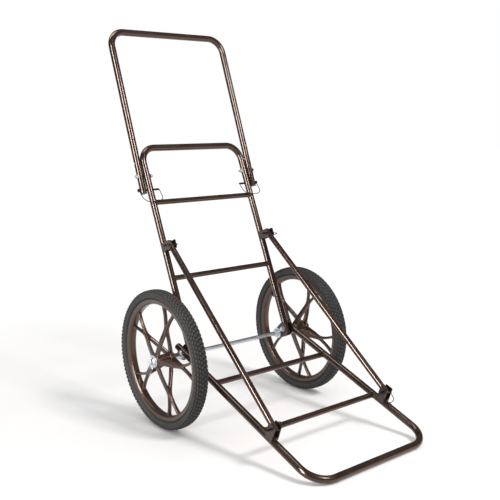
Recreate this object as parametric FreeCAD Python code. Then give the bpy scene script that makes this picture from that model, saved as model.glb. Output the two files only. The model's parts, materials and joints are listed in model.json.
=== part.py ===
"""Folding game cart: a U-shaped bed and a leaning back frame hinged above one axle.

Millimetres. X runs along the axle, -Y is the front, where the bed rests on the floor,
and +Z is up. While modelling, y = 0 is above the axle. Every piece is moved at the end,
so that the origin is at the centre of the object's footprint.
"""
import FreeCAD
import Part
import math
import os

V = FreeCAD.Vector
X_AXIS = V(1, 0, 0)

# tubes
TUBE_OD = 25.4
TUBE_R = TUBE_OD / 2
TUBE_WALL = 1.5
BAR_OD = 20.0
BRACE_OD = 22.0

# axle and wheels
WHEEL_R = 254.0
AXLE_R = 8.0
AXLE_END = 388.0
WHEEL_X = 334.0
LEFT_PHASE = 1.0
RIGHT_PHASE = -9.0
SPOKES = 5

# bed frame: measured along its rails from the axle, slopes down to the front
BED_HALF = 263.2
BED_LENGTH = 758.7
BED_REAR = -12.6
BED_OFFSET = 32.5
BED_BEND = 78.0
BED_BARS = {"bed_rear_cross_bar": 225.0, "bed_front_cross_bar": 494.6}

# back frame: measured along its rails from the axle, leans to the rear
BACK_HALF = 234.0
BACK_LENGTH = 791.9
BACK_START = -13.0
BACK_OFFSET = 39.5
BACK_BEND = 60.0
BACK_PITCH = 68.1
BACK_BARS = {"back_lower_cross_bar": 279.7, "back_upper_cross_bar": 574.8}

# handle: hinged on the back rails, a little more upright than they are
HANDLE_HALF = 263.2
HANDLE_TILT = 3.2
HANDLE_PIVOT = 680.0
HANDLE_FOOT = 65.0
HANDLE_REACH = 575.0
HANDLE_BEND = 60.0
HANDLE_OUT = 300.0

# folding brace between the two frames
BRACE_TOP_S = 397.0
BRACE_FOOT_S = 537.0
BRACE_LIFT = 45.0
BRACE_TOP_X = 234.8
BRACE_FOOT_X = 262.0
BRACE_END = 14.0
FOOT_SLOT_WAY = (0, 0.894, -0.448)

# the brace pins' spring wires: turned forward from the brace's own direction, and how far out
BRACE_WIRES = {
    "left_upper": (48, 31, 16),
    "right_upper": (38, 44, 20),
    "left_lower": (94, 33, 20),
    "right_lower": (-7, 44, 20),
}

# a cut through one side of the cart runs from its middle out to here
HALF_SPAN = 400.0

# plate parts
PLATE = 3.0
EAR_GAP = 12.0
EAR_HALF = 16.0
EAR_TOP = 17.0
EAR_CHAMFER = 2.5

# locking pins with a spring wire
PIN_R = 4.0
PIN_CLEAR = 0.05
SLOT_CLEAR = 1.0
KNOB_R = 7.0
KNOB_LENGTH = 9.0
WIRE_R = 1.5
WIRE_SIDE_CLEAR = 0.2
CROSS_PIN_R = 1.0
CROSS_PIN_HALF = 4.0
EYE_R = 2.6
SLOT_FLOOR = 4.0
HANDLE_PIN_S = 626.5
HANDLE_PIN_LIFT = -1.5
HANDLE_WIRE_DEPTH = 58.0
HANDLE_WIRE_LIFT = 22.0
HANDLE_WIRE_BEND = 30.0

# the brace pins run from a little outside one ear to beyond the other
BRACE_PIN_HEAD = EAR_GAP + PLATE + 0.3
BRACE_PIN_TIP = BRACE_PIN_HEAD + 14.0

# bolts
HINGE_BOLT_R = 5.0
PIVOT_BOLT_R = 4.0

# the angle at which the bed's front tube just rests on the floor
BED_PITCH = math.degrees(
    math.asin((WHEEL_R - TUBE_R) / math.hypot(BED_LENGTH, BED_OFFSET))
    + math.atan2(BED_OFFSET, BED_LENGTH)
)

nodes = {}


def bed_place(shape):
    """Move a shape from the bed's own frame (Y = towards the rear, Z = off the rails)."""
    shape = shape.copy()
    shape.rotate(V(0, 0, 0), X_AXIS, BED_PITCH)
    shape.translate(V(0, 0, WHEEL_R))
    return shape


def back_place(shape):
    """Move a shape from the back's own frame (Y = up the rails, Z = off the rails)."""
    shape = shape.copy()
    shape.rotate(V(0, 0, 0), X_AXIS, BACK_PITCH)
    shape.translate(V(0, 0, WHEEL_R))
    return shape


def turn(y, z, degrees):
    """The point (y, z) turned about the X axis."""
    a = math.radians(degrees)
    return y * math.cos(a) - z * math.sin(a), y * math.sin(a) + z * math.cos(a)


def bed_point(x, s, lift):
    """A point s in front of the axle and lift above the bed's rail centres."""
    y, z = turn(-s, BED_OFFSET + lift, BED_PITCH)
    return V(x, y, z + WHEEL_R)


def back_point(x, s, lift):
    """A point s up the back rails and lift in front of their centres."""
    y, z = turn(s, BACK_OFFSET + lift, BACK_PITCH)
    return V(x, y, z + WHEEL_R)


def hinge_point():
    """Where the bed rails and the back rails cross, seen from the side."""
    low, high = math.radians(BED_PITCH), math.radians(BACK_PITCH)
    span = math.sin(high - low)
    y = (BED_OFFSET * math.cos(high) - BACK_OFFSET * math.cos(low)) / span
    z = (BED_OFFSET * math.sin(high) - BACK_OFFSET * math.sin(low)) / span
    return V(0, y, z + WHEEL_R)


def rod(start, end, radius):
    """A solid round bar between two points."""
    along = end.sub(start)
    return Part.makeCylinder(radius, along.Length, start, along)


def x_rod(x0, x1, point, radius):
    """A solid round bar along X through a point's y and z."""
    low, high = min(x0, x1), max(x0, x1)
    return Part.makeCylinder(radius, high - low, V(low, point.y, point.z), X_AXIS)


def x_ring(x0, x1, point, outer, inner):
    """A round washer or sleeve along X."""
    return x_rod(x0, x1, point, outer).cut(x_rod(x0, x1, point, inner))


def round_edges(shape):
    """The whole circles among a shape's edges."""
    return [edge for edge in shape.Edges if edge.Closed and isinstance(edge.Curve, Part.Circle)]


def x_hexagon(x0, x1, point, flats):
    """A hexagonal prism along X with its corners rounded off, for a nut or a bolt head."""
    low, high = min(x0, x1), max(x0, x1)
    corner = flats / math.sqrt(3)
    points = []
    for i in range(7):
        a = math.radians(60 * i)
        points.append(V(low, point.y + corner * math.cos(a), point.z + corner * math.sin(a)))
    prism = Part.Face(Part.makePolygon(points)).extrude(V(high - low, 0, 0))
    dome = x_rod(low, high, point, corner * 0.985)
    return prism.common(dome.makeFillet(1.0, round_edges(dome)))


def sweep(path, radius):
    """A round solid along a wire."""
    start = path.Edges[0].valueAt(path.Edges[0].FirstParameter)
    along = path.Edges[0].tangentAt(path.Edges[0].FirstParameter)
    ring = Part.Wire([Part.makeCircle(radius, start, along)])
    return path.makePipeShell([ring], True, True)


def arc_corner(before, corner, after, radius):
    """Where a round corner starts, its middle and where it ends."""
    u = before.sub(corner).normalize()
    w = after.sub(corner).normalize()
    half = math.acos(max(-1.0, min(1.0, u.dot(w)))) / 2
    trim = radius / math.tan(half)
    middle_way = u.add(w).normalize()
    middle = corner.add(middle_way.multiply(radius / math.sin(half) - radius))
    return corner.add(u.multiply(trim)), middle, corner.add(w.multiply(trim))


def round_path(points, radius):
    """A wire through points with equal round corners."""
    edges = []
    here = points[0]
    for before, corner, after in zip(points, points[1:], points[2:]):
        start, middle, end = arc_corner(before, corner, after, radius)
        edges.append(Part.makeLine(here, start))
        edges.append(Part.Arc(start, middle, end).toShape())
        here = end
    edges.append(Part.makeLine(here, points[-1]))
    return Part.Wire(edges)


def u_tube(half, start, end, bend, lift):
    """A hollow tube bent into a U: two rails along Y and a bow across the end."""
    points = [V(-half, start, lift), V(-half, end, lift), V(half, end, lift), V(half, start, lift)]
    path = round_path(points, bend)
    return sweep(path, TUBE_R).cut(sweep(path, TUBE_R - TUBE_WALL))


def cross_bar(half, along, lift):
    """A hollow bar between the rails, its ends coped to fit them."""
    start, end = V(-half, along, lift), V(half, along, lift)
    bar = rod(start, end, BAR_OD / 2).cut(rod(start, end, BAR_OD / 2 - TUBE_WALL))
    for x in (-half, half):
        bar = bar.cut(rod(V(x, along - BAR_OD, lift), V(x, along + BAR_OD, lift), TUBE_R))
    return bar


def end_plug(x, start, inward, lift):
    """A plastic cap pressed into a tube's open end, in the frame's own axes."""
    rim = rod(V(x, start, lift), V(x, start - inward * 2.5, lift), TUBE_R - 0.2)
    stub = rod(V(x, start, lift), V(x, start + inward * 12, lift), TUBE_R - TUBE_WALL)
    hollow = rod(V(x, start + inward * 2, lift), V(x, start + inward * 12, lift), TUBE_R - TUBE_WALL - 2)
    return rim.fuse(stub).cut(hollow).removeSplitter()


def is_top_corner(edge, top):
    """Whether an edge of a box runs across it, along X, at its top."""
    box = edge.BoundBox
    return box.XLength > 1 and box.ZMin > top - 0.1


def brace_bracket(x, along, lift):
    """A U of folded plate saddled on a rail, with a pin hole through both square ears."""
    outer = EAR_GAP + PLATE
    top = BRACE_LIFT + EAR_TOP
    shape = Part.makeBox(2 * outer, 2 * EAR_HALF, top, V(x - outer, along - EAR_HALF, lift))
    corners = [edge for edge in shape.Edges if is_top_corner(edge, lift + top)]
    shape = shape.makeChamfer(EAR_CHAMFER, corners)
    floor = lift + TUBE_R + PLATE
    start = along - 2 * EAR_HALF
    room = Part.makeBox(2 * EAR_GAP, 4 * EAR_HALF, 2 * BRACE_LIFT, V(x - EAR_GAP, start, floor))
    below = Part.makeBox(4 * outer, 4 * EAR_HALF, TUBE_R, V(x - 2 * outer, start, lift - TUBE_R / 2))
    pin_line = lift + BRACE_LIFT
    hole = rod(V(x - outer, along, pin_line), V(x + outer, along, pin_line), PIN_R + PIN_CLEAR)
    return shape.cut(room).cut(below).cut(hole)


def rail_core(half, along, lift):
    """A stretch of solid rail, used to shape what sits on it."""
    return rod(V(half, along - 60, lift), V(half, along + 60, lift), TUBE_R)


def bolt(x_head, x_end, point, radius, flats, head):
    """A hexagon bolt along X; head is the head's thickness, on the far side of x_head."""
    way = 1 if x_head > x_end else -1
    return x_hexagon(x_head, x_head + way * head, point, flats).fuse(x_rod(x_head, x_end, point, radius))


def nut(x0, x1, point, flats, bore):
    """A hexagon nut along X."""
    return x_hexagon(x0, x1, point, flats).cut(x_rod(x0, x1, point, bore))


def lock_pin(x_head, x_tip, point, reach_way):
    """A pin with a slotted knob. The wire turns on a small cross pin in the slot."""
    way = 1 if x_head > x_tip else -1
    knob = x_rod(x_head, x_head + way * KNOB_LENGTH, point, KNOB_R)
    knob = knob.makeFillet(1.5, round_edges(knob))
    pivot = knob_centre(x_head, x_tip, point)
    side = X_AXIS.cross(reach_way).normalize()
    slot_half = WIRE_R + 2 * WIRE_SIDE_CLEAR
    start = -KNOB_LENGTH / 2 if way > 0 else -KNOB_R
    corner = V(start, -slot_half, -SLOT_FLOOR)
    slot = Part.makeBox(KNOB_LENGTH / 2 + KNOB_R, 2 * slot_half, 2 * KNOB_R, corner)
    slot = turn_to(slot, side, reach_way, pivot)
    shank = x_rod(x_head, x_tip, point, PIN_R)
    tip = [edge for edge in round_edges(shank) if abs(edge.BoundBox.XMin - x_tip) < 0.1]
    shank = shank.makeChamfer(1.0, tip)
    half = V(side).multiply(CROSS_PIN_HALF)
    cross = rod(pivot.sub(half), pivot.add(half), CROSS_PIN_R)
    return knob.cut(slot).fuse(shank).fuse(cross)


def knob_centre(x_head, x_tip, point):
    """The point that the wire turns about."""
    way = 1 if x_head > x_tip else -1
    return V(x_head + way * KNOB_LENGTH / 2, point.y, point.z)


def turn_to(shape, side, reach_way, origin):
    """Turn a shape so that its Y points to side and its Z to reach_way, and move it to origin."""
    m = FreeCAD.Matrix(
        1, 0, 0, origin.x, 0, side.y, reach_way.y, origin.y, 0, side.z, reach_way.z, origin.z, 0, 0, 0, 1
    )
    return shape.transformGeometry(m)


def pin_wire(x_head, x_tip, point, reach_way, depth, bend):
    """The bowed spring wire: an eye in the knob, round the tube and over the pin's tip."""
    way = 1 if x_head > x_tip else -1
    pivot = knob_centre(x_head, x_tip, point)
    far = x_tip - way * (WIRE_R + 0.4)
    low = V(reach_way).multiply(depth)
    points = [
        pivot.add(V(reach_way).multiply(2.0)),
        pivot.add(low),
        V(far, point.y, point.z).add(low),
        V(far, point.y, point.z).add(V(reach_way).multiply(-PIN_R)),
    ]
    side = X_AXIS.cross(reach_way).normalize()
    half = V(side).multiply(WIRE_R + WIRE_SIDE_CLEAR)
    eye = rod(pivot.sub(half), pivot.add(half), EYE_R)
    hole = rod(pivot.sub(V(half).multiply(3)), pivot.add(V(half).multiply(3)), CROSS_PIN_R + PIN_CLEAR)
    return sweep(round_path(points, bend), WIRE_R).fuse(eye).cut(hole)


# ---------------------------------------------------------------- wheel, in its own frame
# X is out from the cart and x = 0 is the wheel's middle plane
HUB_IN = -43.7
HUB_OUT = 34.0
HUB_BORE = 11.0
RIM_HALF = 17.0
RIM_R = 221.5
BARREL_R = 203.0
FORK_R = 120.0
PRONG_SPREAD = 33.0
PRONG_HALF = 4.5
PRONG_DEPTH = 14.0


def revolve(points):
    """Turn a closed outline of (x, radius) points about the X axis."""
    wire = Part.makePolygon([V(x, 0, r) for x, r in points + points[:1]])
    return Part.Face(wire).revolve(V(0, 0, 0), X_AXIS, 360)


def rim():
    """The rim: a barrel with a step up to a flange on each side."""
    outside = [(12, BARREL_R), (15.5, BARREL_R + 3.5), (RIM_HALF, RIM_R - 3), (RIM_HALF, RIM_R)]
    inside = [(RIM_HALF - 2.5, RIM_R), (RIM_HALF - 4, BARREL_R + 7), (10, BARREL_R + 4)]
    right = outside + inside
    left = [(-x, r) for x, r in reversed(right)]
    return revolve(right + left)


def hub():
    """The hub barrel with a thicker collar at each end."""
    outline = [
        (HUB_IN, HUB_BORE), (HUB_IN, 21), (HUB_IN + 8, 23), (HUB_IN + 14, 18.5),
        (HUB_OUT - 18, 18.5), (HUB_OUT - 10, 26), (HUB_OUT, 27), (HUB_OUT, HUB_BORE),
    ]
    return revolve(outline)


def rectangle(x, radius, width, depth):
    """A rectangle across a spoke at one radius."""
    w, d = width / 2, depth / 2
    corners = [(-d, -w), (d, -w), (d, w), (-d, w), (-d, -w)]
    return Part.makePolygon([V(x + dx, dy, radius) for dx, dy in corners])


def prong(side):
    """One curved branch of a spoke, from the fork to the rim."""
    run = BARREL_R + 2 - FORK_R
    bend = (run ** 2 + PRONG_SPREAD ** 2) / (2 * PRONG_SPREAD)
    total = math.asin(run / bend)
    centre = V(0, side * bend, FORK_R)

    def at(radius, angle):
        y = centre.y - side * radius * math.cos(angle)
        return V(-PRONG_DEPTH / 2, y, FORK_R + radius * math.sin(angle))

    near, far = bend - PRONG_HALF, bend + PRONG_HALF
    edges = [
        Part.Arc(at(near, 0), at(near, total / 2), at(near, total)).toShape(),
        Part.makeLine(at(near, total), at(far, total)),
        Part.Arc(at(far, total), at(far, total / 2), at(far, 0)).toShape(),
        Part.makeLine(at(far, 0), at(near, 0)),
    ]
    return Part.Face(Part.Wire(edges)).extrude(V(PRONG_DEPTH, 0, 0))


def spoke():
    """One spoke: a stem from each end of the hub, joining where two branches part."""
    top = rectangle(0, FORK_R + 8, 13, PRONG_DEPTH)
    shape = Part.makeLoft([rectangle(HUB_OUT - 8, 17, 22, 9), top], True)
    shape = shape.fuse(Part.makeLoft([rectangle(HUB_IN + 8, 15, 20, 9), top], True))
    for side in (-1, 1):
        shape = shape.fuse(prong(side))
    return shape


def wheel(phase):
    """The one-piece wheel; phase turns the first spoke up from the front."""
    shape = rim().fuse(hub())
    bore = Part.makeCylinder(HUB_BORE, 200, V(-100, 0, 0), X_AXIS)
    outside = revolve([(-60, 10), (-60, BARREL_R + 3.5), (60, BARREL_R + 3.5), (60, 10)])
    for i in range(SPOKES):
        arm = spoke().common(outside)
        arm.rotate(V(0, 0, 0), X_AXIS, 90 - phase - i * 360 / SPOKES)
        shape = shape.fuse(arm)
    return shape.cut(bore).removeSplitter()


def tyre():
    """The tyre as a hollow ring, open between its two beads."""
    shoulder = V(22, 0, 247.5)
    far_shoulder = V(-22, 0, 247.5)
    edges = [
        Part.makeLine(V(8, 0, 211), V(12.6, 0, 211)),
        Part.makeLine(V(12.6, 0, 211), V(14, 0, 222)),
        Part.Arc(V(14, 0, 222), V(26.9, 0, 235), shoulder).toShape(),
        Part.Arc(shoulder, V(0, 0, WHEEL_R), far_shoulder).toShape(),
        Part.Arc(far_shoulder, V(-26.9, 0, 235), V(-14, 0, 222)).toShape(),
        Part.makeLine(V(-14, 0, 222), V(-12.6, 0, 211)),
        Part.makeLine(V(-12.6, 0, 211), V(-8, 0, 211)),
        Part.makeLine(V(-8, 0, 211), V(-9, 0, 222)),
        Part.Arc(V(-9, 0, 222), V(-22, 0, 234.5), V(-17, 0, 243.5)).toShape(),
        Part.Arc(V(-17, 0, 243.5), V(0, 0, 248.5), V(17, 0, 243.5)).toShape(),
        Part.Arc(V(17, 0, 243.5), V(22, 0, 234.5), V(9, 0, 222)).toShape(),
        Part.makeLine(V(9, 0, 222), V(8, 0, 211)),
    ]
    return Part.Face(Part.Wire(edges)).revolve(V(0, 0, 0), X_AXIS, 360)


def hub_bushings():
    """Two plain bearings pressed into the hub's bore."""
    length = 24
    shapes = []
    for x in (HUB_IN, HUB_OUT - length):
        ring = Part.makeCylinder(HUB_BORE, length, V(x, 0, 0), X_AXIS)
        shapes.append(ring.cut(Part.makeCylinder(AXLE_R + PIN_CLEAR, length, V(x, 0, 0), X_AXIS)))
    return Part.makeCompound(shapes)


def wheel_place(shape, side):
    """Move a shape from the wheel's frame to the left (-1) or right (1) of the cart."""
    if side < 0:
        shape = shape.mirror(V(0, 0, 0), X_AXIS)
    else:
        shape = shape.copy()
    shape.translate(V(side * WHEEL_X, 0, WHEEL_R))
    return shape


def make_wheels():
    for side, name, phase in ((-1, "left", LEFT_PHASE), (1, "right", RIGHT_PHASE)):
        nodes[name + "_wheel"] = wheel_place(wheel(phase), side)
        nodes[name + "_tyre"] = wheel_place(tyre(), side)
        nodes[name + "_hub_bushings"] = wheel_place(hub_bushings(), side)


# ---------------------------------------------------------------- bed and axle
INNER_CHEEK = 217.8
OUTER_CHEEK = 247.5
AXLE = V(0, 0, WHEEL_R)
HINGE = hinge_point()


def axle_bracket(side):
    """A U of plate under a bed rail: two cheeks for the hinge bolt and the axle."""
    shape = None
    for x in (INNER_CHEEK, OUTER_CHEEK):
        cheek = cheek_plate(side * x, side * (x + PLATE))
        shape = cheek if shape is None else shape.fuse(cheek)
    low = min(side * INNER_CHEEK, side * (OUTER_CHEEK + PLATE))
    width = OUTER_CHEEK + PLATE - INNER_CHEEK
    web = Part.makeBox(width, 20, PLATE, V(low, -10, WHEEL_R - 18))
    shape = shape.fuse(web)
    shape = shape.cut(x_rod(0, side * HALF_SPAN, AXLE, AXLE_R))
    return shape.cut(x_rod(0, side * HALF_SPAN, HINGE, HINGE_BOLT_R)).removeSplitter()


def cheek_plate(x0, x1):
    """One cheek: the outline round two circles, one at the hinge bolt and one at the axle."""
    big, small = 26.0, 18.0
    along = AXLE.sub(HINGE)
    lean = math.acos((big - small) / along.Length)
    base = math.atan2(along.z, along.y)
    corners = []
    for centre, radius, sign in ((HINGE, big, 1), (AXLE, small, 1), (AXLE, small, -1), (HINGE, big, -1)):
        a = base + sign * lean
        corners.append(V(min(x0, x1), centre.y + radius * math.cos(a), centre.z + radius * math.sin(a)))
    middle = Part.Face(Part.makePolygon(corners + corners[:1])).extrude(V(abs(x1 - x0), 0, 0))
    return middle.fuse(x_rod(x0, x1, HINGE, big)).fuse(x_rod(x0, x1, AXLE, small)).removeSplitter()


def both_sides(make):
    """A left and a right copy of a piece; make takes -1 or 1."""
    return Part.makeCompound([make(-1), make(1)])


def make_bed():
    frame = bed_place(u_tube(BED_HALF, -BED_REAR, -BED_LENGTH, BED_BEND, BED_OFFSET))
    for side in (-1, 1):
        hole = x_rod(0, side * HALF_SPAN, HINGE, HINGE_BOLT_R)
        frame = frame.cut(hole)
    nodes["bed_frame"] = frame
    for name, s in BED_BARS.items():
        nodes[name] = bed_place(cross_bar(BED_HALF, -s, BED_OFFSET))
    nodes["bed_end_plugs"] = both_sides(
        lambda side: bed_place(end_plug(side * BED_HALF, -BED_REAR, -1, BED_OFFSET))
    )
    for side, name in ((-1, "left"), (1, "right")):
        nodes[name + "_axle_bracket"] = axle_bracket(side)
        shape = brace_bracket(side * BRACE_FOOT_X, -BRACE_FOOT_S, BED_OFFSET)
        shape = shape.cut(rail_core(side * BED_HALF, -BRACE_FOOT_S, BED_OFFSET))
        nodes[name + "_lower_brace_bracket"] = bed_place(shape)


def make_hinge_hardware():
    """The two bolts that the back frame turns on, with their washers and nuts."""
    out = BED_HALF + TUBE_R
    nodes["hinge_bolts"] = both_sides(
        lambda side: bolt(side * (out + 2), side * 206, HINGE, HINGE_BOLT_R, 16, 6)
    )
    nodes["hinge_washers"] = Part.makeCompound([
        x_ring(side * x, side * (x + 2), HINGE, 10.5, HINGE_BOLT_R)
        for side in (-1, 1) for x in (INNER_CHEEK - 2, out)
    ])
    nodes["hinge_nuts"] = both_sides(
        lambda side: nut(side * (INNER_CHEEK - 10), side * (INNER_CHEEK - 2), HINGE, 16, HINGE_BOLT_R)
    )


def make_axle():
    """The plain axle, and what holds it and the wheels in place."""
    inner, outer = INNER_CHEEK, OUTER_CHEEK + PLATE
    hub_in, hub_out = WHEEL_X + HUB_IN, WHEEL_X + HUB_OUT
    axle = x_rod(-AXLE_END, AXLE_END, AXLE, AXLE_R)
    axle = axle.makeChamfer(1.5, round_edges(axle))
    cotter_x = AXLE_END - 6
    for side in (-1, 1):
        axle = axle.cut(rod(V(side * cotter_x, 0, WHEEL_R - 20), V(side * cotter_x, 0, WHEEL_R + 20), 2.1))
    nodes["axle"] = axle
    nodes["axle_nuts"] = Part.makeCompound([
        nut(side * x, side * (x + 10), AXLE, 24, AXLE_R)
        for side in (-1, 1) for x in (inner - 13, outer + 3)
    ])
    nodes["axle_washers"] = Part.makeCompound([
        x_ring(side * x, side * (x + 3), AXLE, radius, AXLE_R)
        for side in (-1, 1) for x, radius in ((inner - 3, 21), (outer, 18))
    ])
    nodes["axle_spacers"] = both_sides(
        lambda side: x_ring(side * (outer + 13), side * (hub_in - 3.3), AXLE, 11, AXLE_R)
    )
    nodes["hub_washers"] = Part.makeCompound([
        x_ring(side * x, side * (x + 3), AXLE, radius, AXLE_R)
        for side in (-1, 1) for x, radius in ((hub_in - 3.3, 18), (hub_out + 0.3, 22))
    ])
    nodes["axle_collars"] = both_sides(
        lambda side: x_ring(side * (hub_out + 3.3), side * (hub_out + 10), AXLE, 14, AXLE_R)
    )
    nodes["cotter_pins"] = both_sides(lambda side: cotter_pin(side * cotter_x))


def cotter_pin(x):
    """A split pin through the axle: an eye above, two legs spread below."""
    top, foot = WHEEL_R + AXLE_R, WHEEL_R - AXLE_R
    shank = rod(V(x, 0, foot - 3), V(x, 0, top + 2), 1.9)
    ring = Part.makeTorus(4.5, 1.4, V(x, 0, top + 6), X_AXIS)
    shape = shank.fuse(ring)
    for side in (-1, 1):
        shape = shape.fuse(rod(V(x, 0, foot - 2), V(x, side * 9, foot - 16), 1.1))
    return shape


# ---------------------------------------------------------------- back frame, handle, braces
PIN_HEAD_X = HANDLE_HALF + TUBE_R + 0.4
PIN_TIP_X = 196.0


def handle_place(shape):
    """Move a shape from the handle's own frame, whose origin is at its pivot bolts."""
    shape = shape.copy()
    shape.rotate(V(0, 0, 0), X_AXIS, HANDLE_TILT)
    shape.translate(V(0, HANDLE_PIVOT, BACK_OFFSET))
    return back_place(shape)


def make_back():
    pivot = back_point(0, HANDLE_PIVOT, 0)
    lock = back_point(0, HANDLE_PIN_S, HANDLE_PIN_LIFT)
    frame = back_place(u_tube(BACK_HALF, BACK_START, BACK_LENGTH, BACK_BEND, BACK_OFFSET))
    frame = frame.cut(x_rod(-260, 260, HINGE, HINGE_BOLT_R + PIN_CLEAR))
    frame = frame.cut(x_rod(-260, 260, pivot, PIVOT_BOLT_R))
    nodes["back_frame"] = frame.cut(x_rod(-260, 260, lock, PIN_R + PIN_CLEAR))
    for name, s in BACK_BARS.items():
        nodes[name] = back_place(cross_bar(BACK_HALF, s, BACK_OFFSET))
    for side, name in ((-1, "left"), (1, "right")):
        shape = brace_bracket(side * BRACE_TOP_X, BRACE_TOP_S, BACK_OFFSET)
        shape = shape.cut(rail_core(side * BACK_HALF, BRACE_TOP_S, BACK_OFFSET))
        nodes[name + "_upper_brace_bracket"] = back_place(shape)


def make_handle():
    pivot = back_point(0, HANDLE_PIVOT, 0)
    lock = back_point(0, HANDLE_PIN_S, HANDLE_PIN_LIFT)
    folded = V(pivot).multiply(2).sub(lock)
    notches = handle_notch(pivot, lock, 1).fuse(handle_notch(pivot, folded, -1))
    frame = handle_place(u_tube(HANDLE_HALF, -HANDLE_FOOT, HANDLE_REACH, HANDLE_BEND, 0))
    frame = frame.cut(x_rod(-HANDLE_OUT, HANDLE_OUT, pivot, PIVOT_BOLT_R + PIN_CLEAR))
    nodes["handle_frame"] = frame.cut(notches)
    nodes["handle_end_plugs"] = both_sides(
        lambda side: handle_place(end_plug(side * HANDLE_HALF, -HANDLE_FOOT, 1, 0)).cut(notches)
    )
    out, inner = HANDLE_HALF + TUBE_R, BACK_HALF - TUBE_R
    nodes["handle_pivot_bolts"] = both_sides(
        lambda side: bolt(side * (out + 1.8), side * (inner - 14), pivot, PIVOT_BOLT_R, 13, 5.3)
    )
    nodes["handle_pivot_washers"] = Part.makeCompound([
        x_ring(side * x0, side * x1, pivot, 8.5, PIVOT_BOLT_R)
        for side in (-1, 1) for x0, x1 in ((inner - 1.6, inner), (out + 0.2, out + 1.8))
    ])
    nodes["handle_pivot_nuts"] = both_sides(
        lambda side: nut(side * (inner - 8.1), side * (inner - 1.6), pivot, 13, PIVOT_BOLT_R)
    )
    nodes["handle_spacers"] = both_sides(
        lambda side: x_ring(
            side * (BACK_HALF + TUBE_R), side * (HANDLE_HALF - TUBE_R - 0.3), pivot, 9, PIVOT_BOLT_R
        )
    )
    reach = back_point(0, HANDLE_PIN_S - HANDLE_WIRE_DEPTH, HANDLE_WIRE_LIFT).sub(lock).normalize()
    for side, name in ((-1, "left"), (1, "right")):
        make_pin(name + "_handle_pin", side * PIN_HEAD_X, side * PIN_TIP_X, lock, reach,
                 HANDLE_WIRE_DEPTH, HANDLE_WIRE_BEND)


def handle_notch(pivot, hole, way):
    """An open slot in both handle rails, for a pin that swings out one way round the pivot bolts."""
    arm = hole.sub(pivot)
    swing = math.degrees(math.asin((TUBE_R + 2 * PIN_R) / arm.Length))
    y, z = turn(arm.y, arm.z, way * swing)
    return open_slot(hole, V(0, pivot.y + y, pivot.z + z).sub(hole), -HANDLE_OUT, HANDLE_OUT)


def make_pin(name, x_head, x_tip, point, reach_way, depth, bend):
    """A lock pin and its wire, which stands out from the pin along reach_way."""
    nodes[name] = lock_pin(x_head, x_tip, point, V(reach_way))
    nodes[name + "_wire"] = pin_wire(x_head, x_tip, point, V(reach_way), depth, bend)
    axis = X_AXIS.cross(reach_way)
    print(name, "wire turns about", axis.y, axis.z)


def open_slot(point, way, x0, x1):
    """The space for a pin that leaves a tube sideways: a hole with an open side."""
    side = X_AXIS.cross(way).normalize()
    radius = PIN_R + SLOT_CLEAR
    slot = Part.makeBox(x1 - x0, 2 * radius, way.Length, V(x0, -radius, 0))
    slot = turn_to(slot, side, V(way).normalize(), V(0, point.y, point.z))
    return slot.fuse(x_rod(x0, x1, point, radius))


def brace(side, top, foot):
    """A straight hollow tube with a pin hole at its top and an open hook at its foot."""
    along = foot.sub(top).normalize()
    start = top.sub(V(along).multiply(BRACE_END))
    end = foot.add(V(along).multiply(BRACE_END))
    tube = rod(start, end, BRACE_OD / 2).cut(rod(start, end, BRACE_OD / 2 - TUBE_WALL))
    tube = tube.cut(x_rod(0, side * HALF_SPAN, top, PIN_R + PIN_CLEAR))
    x0, x1 = sorted((0, side * HALF_SPAN))
    return tube.cut(open_slot(foot, V(*FOOT_SLOT_WAY).multiply(BRACE_OD), x0, x1))


def make_braces():
    for side, name in ((-1, "left"), (1, "right")):
        top = back_point(side * BRACE_TOP_X, BRACE_TOP_S, BRACE_LIFT)
        foot = bed_point(side * BRACE_FOOT_X, BRACE_FOOT_S, BRACE_LIFT)
        nodes[name + "_brace"] = brace(side, top, foot)
        for level, point in (("upper", top), ("lower", foot)):
            turned, depth, bend = BRACE_WIRES[name + "_" + level]
            y, z = turn(foot.y - top.y, foot.z - top.z, -turned)
            make_pin(name + "_" + level + "_pin", point.x + BRACE_PIN_HEAD, point.x - BRACE_PIN_TIP,
                     point, V(0, y, z).normalize(), depth, bend)


def footprint_shift():
    """The move in Y that puts the origin midway between the front bow and the handle's top."""
    front = bed_place(Part.makeSphere(TUBE_R, V(0, -BED_LENGTH, BED_OFFSET)))
    rear = handle_place(Part.makeSphere(TUBE_R, V(0, HANDLE_REACH, 0)))
    return V(0, -(front.CenterOfMass.y + rear.CenterOfMass.y) / 2, 0)


def main():
    make_bed()
    make_hinge_hardware()
    make_axle()
    make_wheels()
    make_back()
    make_handle()
    make_braces()
    shift = footprint_shift()
    os.makedirs("parts", exist_ok=True)
    for name, shape in nodes.items():
        shape = shape.copy()
        shape.translate(shift)
        shape.exportStep("parts/" + name + ".step")
        state = "valid" if shape.isValid() else "INVALID"
        print(name, len(shape.Solids), state, round(shape.Volume))
    points = {
        "axle": AXLE,
        "hinge": HINGE,
        "handle pivot": back_point(0, HANDLE_PIVOT, 0),
        "handle pin": back_point(0, HANDLE_PIN_S, HANDLE_PIN_LIFT),
        "brace top": back_point(0, BRACE_TOP_S, BRACE_LIFT),
        "brace foot": bed_point(0, BRACE_FOOT_S, BRACE_LIFT),
    }
    for name, point in points.items():
        print(name, round(point.y + shift.y, 3), round(point.z, 3))


main()
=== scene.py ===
# %% [markdown]
# # A folding game cart
# The cart has three bent tube frames: a bed that slopes down to the floor, a leaning back and
# a handle. It stands on a plain axle with two moulded wheels. The imported CAD model gives every
# place and size, so this script only adds what a CAD model lacks: finishes, and shapes that
# are softer or finer than its solids. The looks must not change the size.

# %% Load the imported cart
import bpy
import json
import math
import numpy as np
from mathutils import Matrix, Vector


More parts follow.
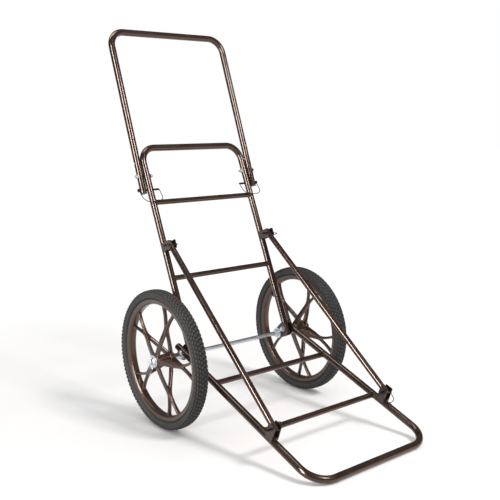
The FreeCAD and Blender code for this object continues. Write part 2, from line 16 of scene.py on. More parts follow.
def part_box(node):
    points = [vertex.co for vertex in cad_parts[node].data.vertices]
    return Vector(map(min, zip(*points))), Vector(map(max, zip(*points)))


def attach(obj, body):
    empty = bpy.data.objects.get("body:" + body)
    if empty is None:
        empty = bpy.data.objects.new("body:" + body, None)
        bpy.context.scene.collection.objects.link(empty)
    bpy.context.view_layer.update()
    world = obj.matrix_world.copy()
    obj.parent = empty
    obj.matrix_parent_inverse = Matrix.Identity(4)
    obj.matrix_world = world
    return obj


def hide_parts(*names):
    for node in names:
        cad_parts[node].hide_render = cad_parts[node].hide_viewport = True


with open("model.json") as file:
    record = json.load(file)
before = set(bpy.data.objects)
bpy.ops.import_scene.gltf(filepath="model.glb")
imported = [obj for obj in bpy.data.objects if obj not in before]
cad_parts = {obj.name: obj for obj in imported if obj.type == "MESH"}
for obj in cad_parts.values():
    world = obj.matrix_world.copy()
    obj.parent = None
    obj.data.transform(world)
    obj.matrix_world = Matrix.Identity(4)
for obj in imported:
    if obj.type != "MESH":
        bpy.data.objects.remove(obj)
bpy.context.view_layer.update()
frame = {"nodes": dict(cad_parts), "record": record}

# %% [markdown]
# ## Camera
# A camera is easier to read as a place, a compass direction, a pitch and a roll than as a
# matrix. The lens is a little longer than a standard one, so the tubes keep a natural
# perspective. The small shift moves the picture on the sensor without turning the camera.

# %% Camera
CAMERA_PLACE = Vector((-1.717, -2.061, 1.035))
CAMERA_AZIMUTH = math.radians(52.0)
CAMERA_PITCH = math.radians(-9.716)
CAMERA_ROLL = math.radians(-1.27)
CAMERA_LENS = 53.9
CAMERA_SHIFT = (0.0258, 0.0318)


def direction(azimuth, pitch):
    """A unit vector: azimuth turns from +X towards +Y, pitch lifts it off the floor."""
    flat = math.cos(pitch)
    return Vector((flat * math.cos(azimuth), flat * math.sin(azimuth), math.sin(pitch)))


def look(forward, roll):
    """The turn that points -Z along forward, with +Y upwards, rolled about the line of sight."""
    return forward.to_track_quat("-Z", "Y").to_matrix().to_4x4() @ Matrix.Rotation(roll, 4, "Z")


lens = bpy.data.cameras.new("camera")
lens.lens = CAMERA_LENS
lens.shift_x, lens.shift_y = CAMERA_SHIFT
camera = bpy.data.objects.new("camera", lens)
bpy.context.collection.objects.link(camera)
turned = look(direction(CAMERA_AZIMUTH, CAMERA_PITCH), CAMERA_ROLL)
camera.matrix_world = Matrix.Translation(CAMERA_PLACE) @ turned
bpy.context.scene.camera = camera
print("camera at", tuple(CAMERA_PLACE))

# %% [markdown]
# ## Light and floor
# Gloss paint shows what stands round it. A white sky alone would turn dark paint milky, so the
# sky is bright for the floor and the eye, and dim for reflections. One soft box in front
# gives the faint shadows. Tall panels beside it light no floor: they only show in the gloss,
# and draw the bright lines that make a round tube read as round. The floor is one big disc:
# it has no wall, so it looks the same from every side. It glows softly far from the cart,
# where the lamps don't reach, so that no horizon shows.

# %% Sky
bpy.context.scene.view_settings.view_transform = "Standard"
SKY_SEEN = 1.0
SKY_LIGHT = 0.76
SKY_REFLECTED = 0.10

world = bpy.data.worlds.new("studio")
bpy.context.scene.world = world
world.use_nodes = True
sky = world.node_tree
ray = sky.nodes.new("ShaderNodeLightPath")
seen = sky.nodes.new("ShaderNodeMapRange")
seen.inputs["To Min"].default_value = SKY_LIGHT
seen.inputs["To Max"].default_value = SKY_SEEN
level = sky.nodes.new("ShaderNodeMapRange")
level.inputs["To Max"].default_value = SKY_REFLECTED
sky.links.new(ray.outputs["Is Camera Ray"], seen.inputs["Value"])
sky.links.new(seen.outputs["Result"], level.inputs["To Min"])
sky.links.new(ray.outputs["Is Glossy Ray"], level.inputs["Value"])
sky.links.new(level.outputs["Result"], sky.nodes["Background"].inputs["Strength"])
sky.nodes["Background"].inputs["Color"].default_value = (1.0, 1.0, 1.0, 1.0)
print("sky", SKY_LIGHT, "lighting,", SKY_REFLECTED, "in reflections")

# %% Soft boxes
LAMP_COLOUR = (1.0, 0.95, 0.91)


def soft_box(name, place, target, width, height, power, shine_only=False):
    """A rectangular area light at place, facing target. One that is shine_only lights nothing
    by itself: it only shows in glossy reflections."""
    box = bpy.data.lights.new(name, "AREA")
    box.shape = "RECTANGLE"
    box.size, box.size_y = width, height
    box.energy = power
    box.color = LAMP_COLOUR
    lamp = bpy.data.objects.new(name, box)
    bpy.context.collection.objects.link(lamp)
    lamp.visible_diffuse = not shine_only
    way = Vector(target) - Vector(place)
    lamp.matrix_world = Matrix.Translation(Vector(place)) @ look(way, 0.0)
    return lamp


MIDDLE = (0.0, 0.0, 0.6)
soft_box("key", (0.8, -3.0, 3.6), MIDDLE, 0.9, 0.9, 112.0)
soft_box("left_panel", (-3.3, -0.5, 1.8), MIDDLE, 0.7, 3.0, 260.0, shine_only=True)
soft_box("top_panel", (-0.6, 0.8, 3.4), MIDDLE, 0.8, 2.6, 45.0, shine_only=True)
print("soft boxes placed")

# %% Floor
FLOOR_RADIUS = 40.0
FLOOR_SIDES = 96
FLOOR_HEIGHT = -0.0005


def disc(name, radius, sides, height):
    """A flat many-sided face at one height: points at equal angles round the origin."""
    angle = np.linspace(0.0, 2.0 * np.pi, sides, endpoint=False)
    points = np.stack([radius * np.cos(angle), radius * np.sin(angle), np.full(sides, height)], axis=1)
    mesh = bpy.data.meshes.new(name)
    mesh.from_pydata(points.tolist(), [], [list(range(sides))])
    made = bpy.data.objects.new(name, mesh)
    bpy.context.collection.objects.link(made)
    return made


floor = disc("floor", FLOOR_RADIUS, FLOOR_SIDES, FLOOR_HEIGHT)
print("floor", FLOOR_RADIUS, "m in radius")

# %% [markdown]
# ## Writing finishes as sums
# A finish is a picture of numbers: how rough, how dark, how high at each point. Shader nodes
# can hold such sums, but long chains of them are hard to read. The Value class wraps a
# node's output, so that `1 - dust * 0.5` adds its Math nodes by itself. Colours don't go
# through it, because a Math node turns a colour grey. They are mixed with a Mix node.

# %% Shader arithmetic
class Value:
    """A number that varies over a surface. Each operator adds one Math node."""

    def __init__(self, finish, socket):
        self.finish = finish
        self.socket = socket

    def math(self, operation, *inputs):
        return self.finish.node("ShaderNodeMath", {"operation": operation}, dict(enumerate(inputs)))

    def __add__(self, other):
        return self.math("ADD", self, other)

    def __radd__(self, other):
        return self.math("ADD", other, self)

    def __sub__(self, other):
        return self.math("SUBTRACT", self, other)

    def __rsub__(self, other):
        return self.math("SUBTRACT", other, self)

    def __mul__(self, other):
        return self.math("MULTIPLY", self, other)

    def __rmul__(self, other):
        return self.math("MULTIPLY", other, self)

    def clamp(self):
        """The value, kept between 0 and 1."""
        return self.math("MAXIMUM", self.math("MINIMUM", self, 1.0), 0.0)


class Finish:
    """One material, built from nodes round its Principled shader."""

    def __init__(self, name):
        self.material = bpy.data.materials.new(name)
        self.material.use_nodes = True
        self.tree = self.material.node_tree
        self.shader = self.tree.nodes["Principled BSDF"]

    def node(self, kind, settings, inputs, output=0):
        """Add a node: its settings first, then its inputs, which are numbers, colours or Values."""
        made = self.tree.nodes.new(kind)
        for name, setting in settings.items():
            if name == "stops":
                self.set_stops(made.color_ramp, setting)
            else:
                setattr(made, name, setting)
        for name, value in inputs.items():
            self.plug(made.inputs[name], value)
        return Value(self, made.outputs[output])

    def set_stops(self, ramp, stops):
        """Give a colour ramp its stops: pairs of a position and a grey level."""
        for element, (position, grey) in zip(ramp.elements, stops):
            element.position = position
            element.color = (grey, grey, grey, 1.0)

    def plug(self, socket, value):
        if isinstance(value, Value):
            self.tree.links.new(value.socket, socket)
        else:
            socket.default_value = value

    def place(self):
        """Each point's place on the object, in metres."""
        return self.node("ShaderNodeTexCoord", {}, {}, output="Object")

    def noise(self, scale, detail=3.0, roughness=0.5, stretch=(1.0, 1.0, 1.0)):
        """Cloudy noise; scale is its number of clouds to a metre."""
        spot = self.node("ShaderNodeMapping", {}, {"Vector": self.place(), "Scale": stretch})
        inputs = {"Vector": spot, "Scale": scale, "Detail": detail, "Roughness": roughness}
        return self.node("ShaderNodeTexNoise", {}, inputs)

    def ramp(self, value, low, high):
        """0 below low, 1 above high, and a straight line between them."""
        return self.node("ShaderNodeValToRGB", {"stops": [(low, 0.0), (high, 1.0)]}, {0: value})

    def mix(self, factor, first, second):
        """From the first colour to the second as factor goes from 0 to 1."""
        inputs = {0: factor, 6: first, 7: second}
        return self.node("ShaderNodeMix", {"data_type": "RGBA"}, inputs, output=2)

    def facing_up(self):
        """1 on faces that look up at the sky, 0 on upright and hanging ones."""
        normal = self.node("ShaderNodeNewGeometry", {}, {}, output="Normal")
        return self.node("ShaderNodeSeparateXYZ", {}, {0: normal}, output="Z").clamp()

    def bump(self, height, depth, strength=1.0):
        """Raise the surface by height x depth metres, in its shading only."""
        inputs = {"Height": height, "Distance": depth, "Strength": strength}
        self.set("Normal", self.node("ShaderNodeBump", {}, inputs))

    def set(self, socket, value):
        self.plug(self.shader.inputs[socket], value)


def rgb(red, green, blue):
    """A colour from 0-255 values as a screen shows them, made linear for the shader."""
    screen = np.array([red, green, blue]) / 255.0
    linear = np.where(screen <= 0.04045, screen / 12.92, ((screen + 0.055) / 1.055) ** 2.4)
    return (*linear.tolist(), 1.0)


# %% [markdown]
# ## Powder coat
# Powder is sprayed on dry and baked, so it flows into one thick gloss skin. Close up the skin
# is never quite flat: it has a fine orange peel, which breaks the edge of each reflection.
# Its colour shifts a little where it lies thicker. In use it dulls in patches, gathers dust
# on what faces up, and gets thin pale scratches. Each of these is one noise at its own scale.

# %% Powder coat
PEEL_DEPTH = 0.00005


def powder_coat(name, colour, shade, gloss):
    """Baked gloss paint: colour where it is thin, shade where it is thick; gloss is its roughness."""
    coat = Finish(name)
    patches = coat.noise(9.0, detail=4.0)
    specks = coat.noise(900.0, detail=1.0)
    scratches = coat.noise(60.0, detail=8.0, roughness=0.7, stretch=(1.0, 1.0, 0.25))
    scuffs = coat.ramp(scratches, 0.68, 0.76)
    dust = coat.facing_up() * coat.ramp(coat.noise(14.0, detail=6.0), 0.45, 0.8)
    body = coat.mix((patches * 0.8 + specks * 0.2).clamp(), shade, colour)
    worn = coat.mix(scuffs * 0.3, body, rgb(128, 104, 90))
    coat.set("Base Color", coat.mix(dust * 0.10, worn, rgb(170, 158, 146)))
    coat.set("Roughness", (gloss + patches * 0.06 + scuffs * 0.2 + dust * 0.12).clamp())
    coat.set("Coat Weight", 0.45)
    coat.set("Coat Roughness", 0.1)
    coat.set("Specular Tint", rgb(255, 222, 204))
    peel = coat.noise(420.0, detail=2.0)
    coat.bump(peel - scuffs * 0.4, PEEL_DEPTH)
    return coat.material


brown_coat = powder_coat("brown_powder_coat", rgb(52, 34, 27), rgb(38, 25, 20), 0.17)
plate_coat = powder_coat("dark_plate_coat", rgb(46, 33, 28), rgb(31, 22, 19), 0.30)
wheel_coat = powder_coat("wheel_brown", rgb(78, 55, 46), rgb(55, 38, 31), 0.26)
print("powder coats", brown_coat.name, plate_coat.name, wheel_coat.name)

# %% [markdown]
# ## Zinc plate, black steel, rubber and plastic
# Bright zinc is a thin metal skin over steel. It is a metal with a cool grey, cloudy where the
# passivate is thicker, with fine turning marks across the axis. Oxide-black steel is darker
# and half matt. Moulded plastic has a fine grain from its mould. Rubber is a deep grey that
# scatters light: it is paler where it is dusty. The grooves of the tread are painted nearly
# black, as painted shade.

# %% Other finishes
def bright_zinc():
    """Plated steel: cool and bright, with cloudy stains and fine marks from the lathe."""
    zinc = Finish("zinc")
    clouds = zinc.noise(45.0, detail=5.0)
    stains = zinc.ramp(zinc.noise(25.0, detail=7.0, roughness=0.65), 0.58, 0.78)
    marks = zinc.noise(30.0, detail=2.0, stretch=(60.0, 1.0, 1.0))
    plate = zinc.mix(clouds, rgb(222, 226, 232), rgb(196, 201, 208))
    zinc.set("Base Color", zinc.mix(stains * 0.35, plate, rgb(158, 156, 150)))
    zinc.set("Metallic", 0.95)
    zinc.set("Roughness", (0.24 + clouds * 0.12 + stains * 0.2).clamp())
    zinc.bump(marks, 0.00008)
    return zinc.material


def black_steel():
    """Oxide-black steel for the pins and their wires: half matt, rubbed paler in places."""
    steel = Finish("black_steel")
    rubbed = steel.ramp(steel.noise(70.0, detail=6.0, roughness=0.7), 0.6, 0.78)
    steel.set("Base Color", steel.mix(rubbed * 0.6, rgb(34, 33, 34), rgb(96, 92, 90)))
    steel.set("Metallic", 0.6)
    steel.set("Roughness", (0.42 - rubbed * 0.12).clamp())
    steel.bump(steel.noise(600.0, detail=2.0), 0.0001)
    return steel.material


def moulded_plastic(name, colour, worn, roughness):
    """Moulded plastic with the fine grain of its mould and a few paler rubs."""
    plastic = Finish(name)
    rubs = plastic.ramp(plastic.noise(40.0, detail=6.0), 0.55, 0.8)
    plastic.set("Base Color", plastic.mix(rubs * 0.5, colour, worn))
    plastic.set("Roughness", (roughness + rubs * 0.15).clamp())
    plastic.bump(plastic.noise(1500.0, detail=2.0), 0.0001)
    return plastic.material


def tyre_rubber():
    """Rubber: a deep grey, matt and cloudy. The piece's own attribute is 1 at the bottom of the
    tread's grooves, which are painted near black as painted shade, and 0 on the knobs, which
    keep the rubber's own colour."""
    rubber = Finish("tyre_rubber")
    cloudy = rubber.noise(18.0, detail=5.0)
    grain = rubber.noise(700.0, detail=3.0)
    dust = rubber.ramp(rubber.noise(55.0, detail=7.0, roughness=0.65), 0.5, 0.8)
    black = rubber.mix(cloudy, rgb(40, 41, 41), rgb(54, 55, 55))
    dusty = rubber.mix(dust * 0.25, black, rgb(92, 92, 90))
    # Painted shade: the bottom of the tread's grooves is painted near black.
    groove_shade = rubber.node("ShaderNodeAttribute", {"attribute_name": "groove_shade"}, {}, output="Fac")
    rubber.set("Base Color", rubber.mix(groove_shade, dusty, rgb(13, 13, 13)))
    rubber.set("Roughness", (0.62 + grain * 0.15 + dust * 0.15).clamp())
    rubber.bump(grain, 0.0002)
    return rubber.material


zinc_plate = bright_zinc()
black_oxide = black_steel()
black_plastic = moulded_plastic("black_plastic", rgb(30, 29, 29), rgb(66, 64, 62), 0.42)
bushing_nylon = moulded_plastic("bushing_nylon", rgb(44, 42, 40), rgb(84, 80, 76), 0.5)
rubber = tyre_rubber()
print("finishes", len(bpy.data.materials))

# %% [markdown]
# ## Floor finish
# A studio floor is a pale painted board. It has a faint cloudiness and a fine grain, so that it
# doesn't look like empty space, and it stays matt, so that only soft shadows show on it.

# %% Floor finish
board = Finish("studio_floor")
board_clouds = board.noise(0.8, detail=3.0)
board.set("Base Color", board.mix(board_clouds, rgb(246, 246, 246), rgb(252, 252, 252)))
board.set("Roughness", (0.7 + board_clouds * 0.1).clamp())
board.set("Specular IOR Level", 0.1)
board.bump(board.noise(300.0), 0.0001)
length = {"operation": "LENGTH"}
reach = board.node("ShaderNodeVectorMath", length, {0: board.place()}, output="Value")
far = board.node("ShaderNodeMapRange", {}, {"Value": reach, "From Min": 1.0, "From Max": 4.0})
GLOW_NEAR = (0.06, 0.06, 0.06, 1.0)
GLOW_FAR = (0.36, 0.36, 0.36, 1.0)
board.set("Emission Color", board.mix(far, GLOW_NEAR, GLOW_FAR))
board.set("Emission Strength", 1.0)
floor.data.materials.append(board.material)

# %% [markdown]
# ## Finishes on the CAD parts
# The record names one finish for each part. The CAD mesh stays as it is, and only the material
# in its slots changes, so every tube and bolt keeps its exact place and size.

# %% Put the finishes on
FINISHES = {
    "brown_powder_coat": brown_coat,
    "dark_plate_coat": plate_coat,
    "wheel_brown": wheel_coat,
    "tyre_rubber": rubber,
    "bushing_nylon": bushing_nylon,
    "black_plastic": black_plastic,
    "black_steel": black_oxide,
    "zinc": zinc_plate,
}


def finish_nodes():
    """Put each part's finish in its object's material slots, by the slot that the record gives it."""
    for part in frame["record"]["subparts"]:
        mesh = frame["nodes"][part["node"]].data
        mesh.materials.clear()
        mesh.materials.append(FINISHES[part["material_slot"]])


finish_nodes()

# %% [markdown]
# ## Surfaces from grids
# Every new piece here is a grid of points worked out in one go: one direction runs along or
# round the piece, the other goes across it. Four neighbours make a face. A direction that comes
# back to its start is closed, so no seam is left. Blender then turns all faces outwards.
# Sizes are in millimetres until the last step, because the real parts are made in them.

# %% Grid tools
import bmesh

MM = 0.001


def add_piece(name, points, faces, finish):
    """A smooth-shaded object from points in metres; its faces are all turned outwards."""
    mesh = bpy.data.meshes.new(name)
    mesh.from_pydata(points.tolist(), [], faces)
    shell = bmesh.new()
    shell.from_mesh(mesh)
    bmesh.ops.recalc_face_normals(shell, faces=shell.faces)
    shell.to_mesh(mesh)
    shell.free()
    mesh.shade_smooth()
    mesh.materials.append(finish)
    piece = bpy.data.objects.new(name, mesh)
    bpy.context.collection.objects.link(piece)
    return piece


def grid_faces(rows, columns, closed_rows, closed_columns, first=0):
    """The faces of a grid: each joins four neighbours, and a closed side joins its end to its start."""
    index = np.arange(rows * columns).reshape(rows, columns) + first
    if closed_rows:
        index = np.vstack([index, index[:1]])
    if closed_columns:
        index = np.hstack([index, index[:, :1]])
    corners = [index[:-1, :-1], index[1:, :-1], index[1:, 1:], index[:-1, 1:]]
    return np.stack(corners, axis=-1).reshape(-1, 4).tolist()


def smooth_line(points, count):
    """A line through points: between two of them it is the cubic whose slope at each is that of
    the line between its neighbours."""
    points = np.asarray(points, float)
    padded = np.vstack([2 * points[0] - points[1], points, 2 * points[-1] - points[-2]])
    along = np.linspace(0, len(points) - 1, count)
    start = np.minimum(along.astype(int), len(points) - 2)
    f = (along - start)[:, None]
    a, b, c, d = padded[start], padded[start + 1], padded[start + 2], padded[start + 3]
    square = (2 * a - 5 * b + 4 * c - d) * f**2
    cube = (3 * b - a - 3 * c + d) * f**3
    return 0.5 * (2 * b + (c - a) * f + square + cube)


def unit(vectors):
    """The same directions, one long."""
    return vectors / np.linalg.norm(vectors, axis=-1, keepdims=True)


# %% [markdown]
# ## Where a wheel stands
# Both wheels are one moulding, so a wheel is made once about its own axle line: x runs out
# from the cart, and the rest is a radius and an angle. The left wheel is the mirror image of the
# right. Each stopped at its own angle, so its first spoke is turned up from the front by its
# own phase. The middle of each CAD tyre says where the wheel goes.

# %% Wheel frame
SPOKES = 5
SPOKE_PHASE = {"left": 1.0, "right": -9.0}
SIDE = {"left": -1.0, "right": 1.0}


def wheel_centre(side):
    """The middle of that side's CAD tyre, in metres."""
    low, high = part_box(side + "_tyre")
    return np.array((low + high) / 2)


def to_wheel(points, side, turned=0.0):
    """Move points (x out, c along the rim, r up the spoke), in millimetres, to one side's wheel:
    the spoke points forward, then is turned up by the phase and by `turned`, all in degrees."""
    angle = np.radians(SPOKE_PHASE[side] + turned)
    x, c, r = np.moveaxis(points, -1, 0)
    y = -r * np.cos(angle) + c * np.sin(angle)
    z = r * np.sin(angle) + c * np.cos(angle)
    return np.stack([SIDE[side] * x, y, z], axis=-1) * MM + wheel_centre(side)


def revolve(profile, sides):
    """A ring: each profile point (x, radius) is carried round the axle line in equal steps."""
    around = np.linspace(0, 2 * np.pi, sides, endpoint=False)[:, None]
    x = np.broadcast_to(profile[:, 0], (sides, len(profile)))
    return np.stack([x, profile[:, 1] * np.sin(around), profile[:, 1] * np.cos(around)], axis=-1)


# %% [markdown]
# ## Tyre
# The tyre has smooth sidewalls and a band of small knobs over its crown, which wraps down onto
# its shoulders. Modelling one knob and repeating it would leave seams, so the whole tyre is one
# grid, and the tread is a height added to it. Three rows of blocks lie on each side of the
# middle one. Each row is shifted by about half a block against the next, and all of them
# lean a little, as the further out a point is, the later its block starts.
# A raised line near the rim shows how far the tyre is seated.

# %% Tyre surface
TREAD_PITCHES = 100
BLOCK_PITCH = 15.9
STEPS_PER_PITCH = 8
TYRE_STEPS_ACROSS = 112
TREAD_HEIGHT = 3.6
TREAD_ROWS = (-6.0, 6.0, 14.0, 22.0, 30.0)
TREAD_SHIFTS = (0.0, 0.5, 0.1, 0.6)
TREAD_LEAN = 0.018
GROOVE = 3.8
ROW_EDGE = 0.9
BLOCK_EDGE = 1.2
SEAT_LINE_RADIUS = 227.5
SEAT_LINE_WIDTH = 1.1
SEAT_LINE_HEIGHT = 0.7
RIM_EDGE = 18.0
TYRE_OUTSIDE = [
    (8.4, 212), (12.4, 211.5), (13.4, 218), (14.6, 223), (20.5, 226.5), (25.0, 232.5),
    (25.6, 238), (24.0, 243.4), (19.0, 248.2), (10.5, 250.6), (0, 251),
]
TYRE_INSIDE = [(0, 246), (14, 244), (20, 238), (19.5, 232), (13, 226.5), (9.2, 222)]


def tyre_profile(count):
    """The tyre's cross-section, without its tread: bead, outside wall, crown, and back inside."""
    outside = np.array(TYRE_OUTSIDE, float)
    inside = np.array(TYRE_INSIDE, float)
    mirror = np.array([-1.0, 1.0])
    outside_line = smooth_line(np.vstack([outside, (outside * mirror)[-2::-1]]), count - count // 6)
    inside_line = smooth_line(np.vstack([(inside * mirror)[::-1], inside[1:]]), count // 6)
    return outside_line, inside_line


def soft_step(value, width):
    """0 at and below nothing, 1 from width on, and a smooth slope between."""
    t = np.clip(value / width, 0, 1)
    return t * t * (3 - 2 * t)


def tread(across, pitch):
    """The knobs' height: 1 on a block and 0 in a groove. across is the distance from the middle of
    the crown, in millimetres, and pitch counts blocks round the tyre."""
    height = np.zeros(np.broadcast(across, pitch).shape)
    for inner, outer, shift in zip(TREAD_ROWS[:-1], TREAD_ROWS[1:], TREAD_SHIFTS):
        distance = np.abs(across)
        inside_row = np.minimum(distance - inner, outer - distance) - GROOVE * 0.25
        phase = (pitch + shift + TREAD_LEAN * distance) % 1.0
        inside_block = np.minimum(phase, 1.0 - phase) * BLOCK_PITCH - GROOVE * 0.5
        row = soft_step(inside_row, ROW_EDGE) * soft_step(inside_block, BLOCK_EDGE)
        height = np.maximum(height, row)
    return height


def outward(line):
    """At each point of a cross-section (x, radius), the unit vector across it, away from the axle."""
    across = unit(np.gradient(line, axis=0)) @ np.array([[0.0, 1.0], [-1.0, 0.0]])
    return across if across[len(across) // 2, 1] > 0 else -across


def tyre_rings():
    """The tyre as a grid of (x, radius), one row for each step round it: the outside wall is raised
    by its tread and its seat line. Also, at each point, 1 in a groove, where painted shade goes,
    and 0 elsewhere."""
    outside, inside = tyre_profile(TYRE_STEPS_ACROSS)
    steps = np.linalg.norm(np.diff(outside, axis=0), axis=1)
    across = np.concatenate([[0.0], np.cumsum(steps)])
    across -= across[-1] / 2
    rows = TREAD_PITCHES * STEPS_PER_PITCH
    pitch = (np.arange(rows) / STEPS_PER_PITCH)[:, None]
    knobs = tread(across[None, :], pitch)
    seat = np.exp(-(((outside[:, 1] - SEAT_LINE_RADIUS) / SEAT_LINE_WIDTH) ** 2))
    seat = SEAT_LINE_HEIGHT * seat * (np.abs(outside[:, 0]) > RIM_EDGE)
    raised = outside[None] + outward(outside)[None] * (knobs * TREAD_HEIGHT + seat)[..., None]
    back = np.broadcast_to(inside[None], (rows, *inside.shape))
    # The mask for painted shade: 1 at the bottom of the tread's grooves.
    groove_shade = np.zeros((rows, len(outside) + len(inside)))
    groove_shade[:, : len(outside)] = (1 - knobs) * (np.abs(across) < TREAD_ROWS[-1])
    return np.concatenate([raised, back], axis=1), groove_shade


def make_tyre(side):
    """One tyre: each row of the grid is turned about the axle to its own angle."""
    rings, groove_shade = tyre_rings()
    around = np.linspace(0, 2 * np.pi, len(rings), endpoint=False)[:, None]
    x, r = rings[..., 0], rings[..., 1]
    points = np.stack([x, r * np.sin(around), r * np.cos(around)], axis=-1)
    faces = grid_faces(*rings.shape[:2], True, True)
    tyre = add_piece(side + "_tyre_tread", to_wheel(points, side).reshape(-1, 3), faces, rubber)
    # Stored on the tyre for the rubber's finish, which paints shade into the grooves.
    painted_shade_mark = tyre.data.attributes.new("groove_shade", "FLOAT", "POINT")
    painted_shade_mark.data.foreach_set("value", groove_shade.reshape(-1))
    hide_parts(side + "_tyre")
    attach(tyre, side + "_wheel")
    print(tyre.name, len(faces), "faces")


for side in SIDE:
    make_tyre(side)

# %% [markdown]
# ## Rim
# The rim is a moulded ring: a flange stands up against each side of the tyre, and a shallow
# well joins them. Where flange and well meet there is a soft ridge, and it catches a thin line
# of light all the way round. A profile turned about the axle gives exactly that.

# %% Rim
RIM_STEPS = 240
RIM_PROFILE_STEPS = 44
RIM_HALF_PROFILE = [
    (0, 202.2), (6, 202.5), (10.5, 203.6), (12.2, 205.4), (13.6, 206.6), (15.4, 208.4),
    (16.2, 213), (16.9, 218.5), (17.3, 220.6), (16.6, 221.6), (15.2, 221.5), (14.7, 219),
    (13.4, 210.5), (11, 207.4), (0, 206.6),
]


def make_rim_points():
    """The rim's closed cross-section, as a smooth line through its corners, turned about the axle."""
    half = smooth_line(RIM_HALF_PROFILE, RIM_PROFILE_STEPS)
    other = half[::-1][1:-1] * np.array([-1.0, 1.0])
    return revolve(np.vstack([half, other]), RIM_STEPS)


rim_points = make_rim_points()
print("rim grid", rim_points.shape[:2])

# %% [markdown]
# ## Spokes and hub
# Each spoke starts as two stems, one from each end of the hub. They lean together, become one
# at the fork, and part again along the rim into two curved branches. In a moulding nothing
# meets at a sharp corner. So the limbs and the hub are made as simple closed shapes that run
# into each other. A voxel remesh then melts them into one skin, and a little smoothing
# rounds the corners where they meet.

# %% Limbs
LIMB_STEPS = 26
LIMB_SIDES = 20
LIMB_SQUARENESS = 0.62
SKIN_VOXEL = 1.7
OUTER_STEM = [(25, 0, 16), (21, 0, 45), (13, 0, 82), (5, 0, 110), (1, 0, 131)]
INNER_STEM = [(-35, 0, 15), (-27, 0, 45), (-15, 0, 82), (-5, 0, 110), (-1, 0, 131)]
BRANCH = [(0, 1.5, 118), (0, 6.5, 140), (0, 14.5, 162), (0, 24.5, 183), (0, 36, 205)]
STEM_SIZES = [(5.2, 12.5), (4.9, 11.6), (5.1, 10.4), (6.5, 9.0), (7.0, 7.6)]
BRANCH_SIZES = [(7.2, 6.0), (7.0, 5.5), (7.0, 5.1), (7.2, 5.3), (8.4, 7.0)]


def limb(path, sizes):
    """A closed limb: a rounded square carried along a smooth line. At each step its half sizes,
    along the axle and across the limb, are read from a smooth line through sizes."""
    line = smooth_line(path, LIMB_STEPS)
    half = smooth_line(sizes, LIMB_STEPS)
    tangent = unit(np.gradient(line, axis=0))
    axial = unit(np.array([1.0, 0.0, 0.0]) - tangent * tangent[:, :1])
    sideways = np.cross(tangent, axial)
    angle = np.linspace(0, 2 * np.pi, LIMB_SIDES, endpoint=False)
    cos, sin = np.cos(angle), np.sin(angle)
    u = np.sign(cos) * np.abs(cos) ** LIMB_SQUARENESS
    v = np.sign(sin) * np.abs(sin) ** LIMB_SQUARENESS
    along_axle = axial[:, None] * (half[:, :1] * u)[..., None]
    across_limb = sideways[:, None] * (half[:, 1:] * v)[..., None]
    return line[:, None] + along_axle + across_limb


def mirrored(path):
    """The same path on the other side of the spoke's middle."""
    return [(x, -c, r) for x, c, r in path]


SPOKE_LIMBS = (
    limb(OUTER_STEM, STEM_SIZES),
    limb(INNER_STEM, STEM_SIZES),
    limb(BRANCH, BRANCH_SIZES),
    limb(mirrored(BRANCH), BRANCH_SIZES),
)
print(len(SPOKE_LIMBS), "limbs to a spoke")

# %% Wheel skin
HUB_SIDES = 96
SKIN_SMOOTHING = 5
HUB_PROFILE = [
    (-43.7, 11.2), (-43.7, 19.5), (-42.6, 21), (-37, 22.4), (-30, 19.2), (-18, 18.4), (14, 18.6),
    (21, 23.5), (26, 26.2), (32.5, 26.8), (34, 25.4), (34, 11.2),
]


def melt(piece, voxel, smooth_steps):
    """Join a piece's overlapping shells into one skin of small squares, and round its corners."""
    remesh = piece.modifiers.new("melt", "REMESH")
    remesh.mode = "VOXEL"
    remesh.voxel_size = voxel
    smooth = piece.modifiers.new("round", "SMOOTH")
    smooth.factor = 0.5
    smooth.iterations = smooth_steps
    evaluated = piece.evaluated_get(bpy.context.evaluated_depsgraph_get())
    skin = bpy.data.meshes.new_from_object(evaluated)
    piece.modifiers.clear()
    piece.data = skin
    skin.shade_smooth()


def spider_shells(side):
    """The points and faces of all the limbs and the hub, as closed shells that overlap."""
    shells, faces, count = [], [], 0
    for i in range(SPOKES):
        turned = -i * 360.0 / SPOKES
        for rings in SPOKE_LIMBS:
            rows, columns = rings.shape[:2]
            last = count + (rows - 1) * columns
            faces += grid_faces(rows, columns, False, True, first=count)
            faces += [list(range(count, count + columns)), list(range(last, last + columns))]
            shells.append(to_wheel(rings, side, turned).reshape(-1, 3))
            count += rows * columns
    hub = revolve(np.array(HUB_PROFILE, float), HUB_SIDES)
    faces += grid_faces(*hub.shape[:2], True, True, first=count)
    shells.append(to_wheel(hub, side).reshape(-1, 3))
    return np.vstack(shells), faces


def make_wheel(side):
    """One wheel: its spokes and hub melted into one skin, and its turned rim."""
    points, faces = spider_shells(side)
    spider = add_piece(side + "_wheel_spokes", points, faces, wheel_coat)
    melt(spider, SKIN_VOXEL * MM, SKIN_SMOOTHING)
    rim_faces = grid_faces(*rim_points.shape[:2], True, True)
    placed = to_wheel(rim_points, side).reshape(-1, 3)
    rim = add_piece(side + "_wheel_rim", placed, rim_faces, wheel_coat)
    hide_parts(side + "_wheel")
    for piece in (spider, rim):
        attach(piece, side + "_wheel")
    print(side, "wheel", len(spider.data.polygons), "faces in the skin,", len(rim_faces), "in the rim")


for side in SIDE:
    make_wheel(side)

# %% [markdown]
# ## Axle caps
# A domed cap is pressed over each end of the axle and holds the wheel's washer. The CAD part is a
# plain ring, so it is replaced by a turned profile: a short rim, then a dome that closes
# round the axle. It is bright plate, so the dome catches the lamps as a small star.

# %% Axle caps
CAP_SIDES = 64
CAP_PROFILE = [
    (37.3, 8.1), (37.3, 13.6), (37.8, 14), (38.9, 14.1), (40, 13.6), (41.6, 12.3), (42.9, 10.7),
    (43.7, 9.2), (44, 8.2), (43, 8.1),
]


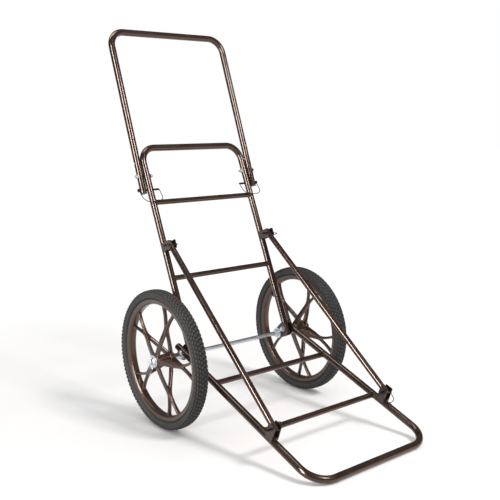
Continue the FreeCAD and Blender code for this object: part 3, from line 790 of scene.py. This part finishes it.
def make_axle_caps():
    """Both caps as one piece, as both collars are one part."""
    ring = revolve(np.array(CAP_PROFILE, float), CAP_SIDES)
    points, faces = [], []
    for i, side in enumerate(SIDE):
        first = i * CAP_SIDES * len(CAP_PROFILE)
        faces += grid_faces(*ring.shape[:2], True, True, first=first)
        points.append(to_wheel(ring, side).reshape(-1, 3))
    caps = add_piece("axle_caps", np.vstack(points), faces, zinc_plate)
    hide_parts("axle_collars")
    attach(caps, "bed")
    print("axle caps", len(faces), "faces")


make_axle_caps()

# %% [markdown]
# ## Weld beads
# Each cross bar is cut hollow at its ends to sit on the round rails, and a bead of weld is run
# round the joint. The seam between two crossing tubes is a known curve: go round the bar, and
# step back by however far the rail's round side has fallen away there. A small ripple on the
# bead's thickness stands for the overlapping puddles that the welder leaves.

# %% Weld beads
BEAD_R = 2.3
BEAD_RIPPLE = 0.22
BEAD_PUDDLES = 26
BEAD_STEPS = 208
BEAD_SIDES = 10
RAIL_R = 12.7
WELDED = {
    "bed": ("bed_frame", ("bed_rear_cross_bar", "bed_front_cross_bar")),
    "back": ("back_frame", ("back_lower_cross_bar", "back_upper_cross_bar")),
}


def middle(node):
    """The middle of a CAD node's box, in millimetres."""
    low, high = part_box(node)
    return np.array((low + high) / 2) / MM


def bead(centre, along, rail_half, bar_r, side):
    """A rippled ring round a bar where it meets a rail: at each angle round the bar it steps in
    from the rail's centre line by the square root of rail radius squared less height squared."""
    angle = np.linspace(0, 2 * np.pi, BEAD_STEPS, endpoint=False)[:, None]
    normal = np.cross([1.0, 0.0, 0.0], along)
    away = along * np.cos(angle) + normal * np.sin(angle)
    height = bar_r * np.sin(angle)
    inward = rail_half - np.sqrt(RAIL_R**2 - height**2)
    line = centre + away * bar_r + np.array([side, 0.0, 0.0]) * inward
    tangent = unit(np.roll(line, -1, axis=0) - np.roll(line, 1, axis=0))
    across = unit(np.cross(tangent, away))
    thick = BEAD_R * (1 - BEAD_RIPPLE * np.abs(np.sin(angle * BEAD_PUDDLES / 2)))
    around = np.linspace(0, 2 * np.pi, BEAD_SIDES, endpoint=False)
    ring = away[:, None] * np.cos(around)[:, None] + across[:, None] * np.sin(around)[:, None]
    return line[:, None] + ring * thick[:, None]


def make_beads(body):
    """The four beads of one frame, as one piece that moves with it."""
    frame_node, bars = WELDED[body]
    rail_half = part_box(frame_node)[1].x / MM - RAIL_R
    along = unit(middle(bars[1]) - middle(bars[0]))
    points, faces = [], []
    for bar in bars:
        low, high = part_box(bar)
        bar_r = (high.z - low.z) / 2 / MM
        for side in SIDE.values():
            ring = bead(middle(bar), along, rail_half, bar_r, side)
            first = len(points) * BEAD_STEPS * BEAD_SIDES
            faces += grid_faces(BEAD_STEPS, BEAD_SIDES, True, True, first=first)
            points.append(ring.reshape(-1, 3) * MM)
    welds = add_piece(body + "_weld_beads", np.vstack(points), faces, brown_coat)
    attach(welds, body)
    print(welds.name, len(faces), "faces")


for body in WELDED:
    make_beads(body)
